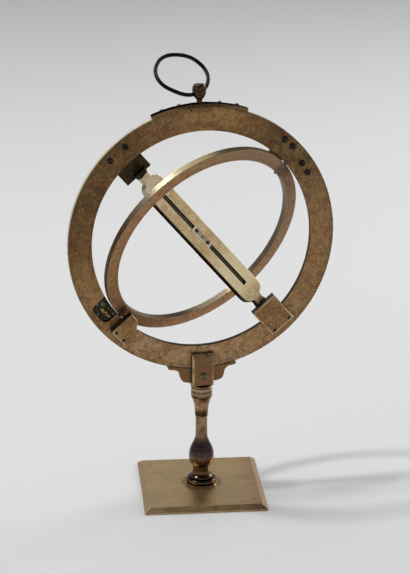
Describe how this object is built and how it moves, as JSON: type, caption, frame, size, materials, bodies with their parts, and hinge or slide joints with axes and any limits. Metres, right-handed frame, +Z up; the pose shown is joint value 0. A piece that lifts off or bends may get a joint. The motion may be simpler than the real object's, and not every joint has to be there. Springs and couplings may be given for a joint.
{
  "type": "ring dial",
  "caption": "Brass equinoctial ring dial on a square-footed turned stand, with folding hour ring, pivoted slotted bridge, sliding cursor and suspension bail.",
  "frame": {"origin": "centre of the base plate's underside", "axes": "+Z up through the column to the suspension, -Y out of the dial's front face, +X to the right along the dial's plane; the base plate is turned 9 degrees clockwise about Z against the dial, as found"},
  "size_m": [0.152, 0.08, 0.2525],
  "materials": {
    "base_brass": "sawn and filed sheet brass, olive-brown patina, satin",
    "column_brass": "turned brass, tarnished dark with bright worn rings",
    "head_brass": "filed brass, dark brown patina",
    "dial_brass": "engraved brass, mottled brown patina",
    "hour_brass": "engraved brass, warm brown patina",
    "bridge_brass": "brass, light yellow with reddish and green spots",
    "cursor_brass": "brass, worn bright at its edges",
    "hanger_brass": "brass, dark brown patina",
    "bail_bronze": "drawn bronze wire, near black",
    "pin_brass": "drawn brass pin, bright where it runs",
    "screw_steel": "blued steel, slotted"
  },
  "bodies": {
    "stand": {"base_plate": "base_brass", "base_screw": "screw_steel", "column": "column_brass", "head_pins": "pin_brass"},
    "head": {"head_saddle": "head_brass", "front_cheek": "head_brass", "back_cheek": "head_brass"},
    "clamp_screw": {"clamp_screw": "screw_steel"},
    "meridian": {"meridian_ring": "dial_brass", "pole_block_upper": "dial_brass", "pole_block_lower": "dial_brass", "pole_screws_upper": "screw_steel", "pole_screws_lower": "screw_steel", "bridge_pin_upper": "pin_brass", "bridge_pin_lower": "pin_brass", "pivot_block_lower": "dial_brass", "pivot_block_upper": "dial_brass", "pivot_block_plain": "dial_brass", "pivot_screws_upper": "screw_steel", "pivot_screws_lower": "screw_steel", "hour_pin_upper": "pin_brass", "hour_pin_lower": "pin_brass", "hanger": "hanger_brass", "strap_screws": "screw_steel"},
    "hour": {"hour_ring": "hour_brass"},
    "bridge": {"bridge": "bridge_brass"},
    "cursor": {"cursor_front": "cursor_brass", "cursor_back": "cursor_brass", "cursor_screws": "screw_steel"},
    "shackle": {"shackle": "hanger_brass"},
    "bail": {"bail": "bail_bronze"}
  },
  "joints": [
    {"name": "head_turn", "type": "hinge", "parent": "stand", "child": "head", "pos_m": [0, 0, 0.0636], "axis": [0, 0, 1], "continuous": true},
    {"name": "clamp_screw_turn", "type": "hinge", "parent": "head", "child": "clamp_screw", "pos_m": [0, 0, 0.071], "axis": [0, -1, 0], "continuous": true},
    {"name": "latitude_turn", "type": "hinge", "parent": "head", "child": "meridian", "pos_m": [0, 0, 0.1511], "axis": [0, -1, 0], "range_deg": [-25, 25]},
    {"name": "hour_ring_fold", "type": "hinge", "parent": "meridian", "child": "hour", "pos_m": [0, 0, 0.1511], "axis": [0.7604, 0, 0.6494], "range_deg": [-31.6, 58.4]},
    {"name": "bridge_turn", "type": "hinge", "parent": "meridian", "child": "bridge", "pos_m": [0, 0, 0.1511], "axis": [-0.6494, 0, 0.7604], "continuous": true},
    {"name": "cursor_slide", "type": "slide", "parent": "bridge", "child": "cursor", "axis": [-0.6494, 0, 0.7604], "range_m": [-0.0315, 0.0275]},
    {"name": "shackle_swivel", "type": "hinge", "parent": "meridian", "child": "shackle", "pos_m": [-0.0016, 0, 0.2287], "axis": [-0.0209, 0, 0.9998], "continuous": true},
    {"name": "bail_swing", "type": "hinge", "parent": "shackle", "child": "bail", "pos_m": [-0.00175, 0, 0.23468], "axis": [0.8653, 0.4562, 0.2079], "range_deg": [-35, 148]}
  ]
}
